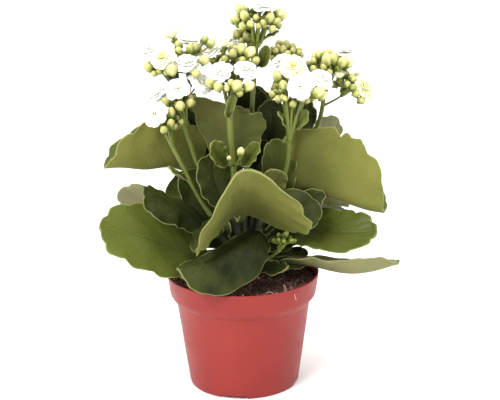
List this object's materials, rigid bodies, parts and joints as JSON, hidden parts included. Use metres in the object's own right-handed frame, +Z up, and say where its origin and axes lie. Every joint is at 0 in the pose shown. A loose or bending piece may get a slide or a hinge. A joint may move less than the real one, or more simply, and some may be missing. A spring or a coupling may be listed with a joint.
{
  "type": "potted kalanchoe",
  "caption": "Florist's kalanchoe with broad scalloped leaves and heads of double white flowers and buds on bare stalks, growing in a tapered round plastic nursery pot.",
  "frame": {"origin": "on the pot's axis, in the plane that the pot stands on", "axes": "+Z up along the pot's axis, -Y towards the side that the plant turns to the viewer, +X to the viewer's right"},
  "size_m": [0.237, 0.1866, 0.304],
  "materials": {
    "pot_plastic": "satin",
    "potting_soil": "matte",
    "shoot_skin": "satin",
    "flower_stalk": "satin",
    "petal": "matte",
    "leaf": "satin"
  },
  "bodies": {
    "root": {"pot": "pot_plastic", "soil": "potting_soil", "shoots": "shoot_skin", "stalk_centre": "flower_stalk", "bloom_centre_1": "petal", "stalk_front": "flower_stalk", "bloom_front_1": "petal", "bloom_front_2": "petal", "stalk_left": "flower_stalk", "bloom_left_1": "petal", "bloom_left_2": "petal", "stalk_low_left": "flower_stalk", "bloom_low_left_1": "petal", "bloom_low_left_2": "petal", "stalk_back_left": "flower_stalk", "bloom_back_left_1": "petal", "bloom_back_left_2": "petal", "bloom_back_left_3": "petal", "bloom_back_left_4": "petal", "bloom_back_left_5": "petal", "stalk_back_centre": "flower_stalk", "bloom_back_centre_1": "petal", "bloom_back_centre_2": "petal", "bloom_back_centre_3": "petal", "stalk_back_right": "flower_stalk", "stalk_right": "flower_stalk", "bloom_right_1": "petal", "bloom_right_2": "petal", "bloom_right_3": "petal", "bloom_right_4": "petal", "stalk_far_right": "flower_stalk", "bloom_far_right_1": "petal", "bloom_far_right_2": "petal", "bloom_far_right_3": "petal", "stalk_low_right": "flower_stalk", "leaf_left_upper": "leaf", "leaf_right_upper": "leaf", "leaf_front_arch": "leaf", "leaf_front_low": "leaf", "leaf_left_low": "leaf", "leaf_left_middle": "leaf", "leaf_left_tip": "leaf", "leaf_left_back": "leaf", "leaf_centre_left": "leaf", "leaf_centre_back": "leaf", "leaf_back_left_high": "leaf", "leaf_back_high": "leaf", "leaf_right_high": "leaf", "leaf_right_far": "leaf", "leaf_right_small": "leaf", "leaf_right_middle": "leaf", "leaf_right_under": "leaf", "leaf_right_low": "leaf", "leaf_right_long": "leaf", "leaf_left_front": "leaf", "leaf_rear": "leaf", "leaf_rear_left": "leaf", "leaf_rear_right": "leaf", "leaf_rear_right_high": "leaf"}
  },
  "joints": []
}
